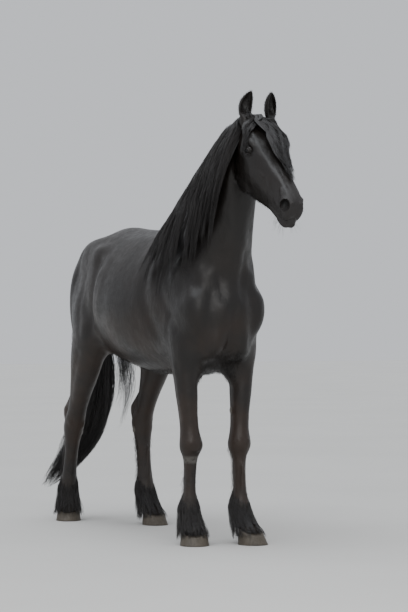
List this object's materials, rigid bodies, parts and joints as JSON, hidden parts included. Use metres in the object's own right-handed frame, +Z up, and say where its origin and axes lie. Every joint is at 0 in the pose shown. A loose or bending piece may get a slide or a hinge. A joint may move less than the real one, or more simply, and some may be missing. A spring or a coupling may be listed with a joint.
{
  "type": "horse",
  "caption": "Standing Friesian horse, life size and still, with a long mane, forelock, tail and feathered fetlocks, resting on its hooves.",
  "frame": {"origin": "middle of the bounding box at floor level, under the soles", "axes": "+Z up, -Y towards the horse's nose, +X towards the horse's left"},
  "size_m": [0.6005, 2.4324, 2.1217],
  "materials": {
    "coat": "glossy short black hair",
    "leg_coat": "dusty short black hair",
    "hair": "long soft black hair",
    "horn": "dusty horn",
    "eye": "wet and glossy"
  },
  "bodies": {
    "root": {"torso": "coat", "neck": "coat", "head": "coat", "ear_right": "coat", "ear_left": "coat", "eye_right": "eye", "eye_left": "eye", "tail": "hair", "fore_leg_upper_right": "coat", "fore_leg_upper_left": "coat", "fore_leg_lower_right": "leg_coat", "fore_leg_lower_left": "leg_coat", "hind_leg_upper_right": "coat", "hind_leg_upper_left": "coat", "hind_leg_lower_right": "leg_coat", "hind_leg_lower_left": "leg_coat", "fore_hoof_right": "horn", "fore_hoof_left": "horn", "hind_hoof_right": "horn", "hind_hoof_left": "horn"}
  },
  "joints": []
}
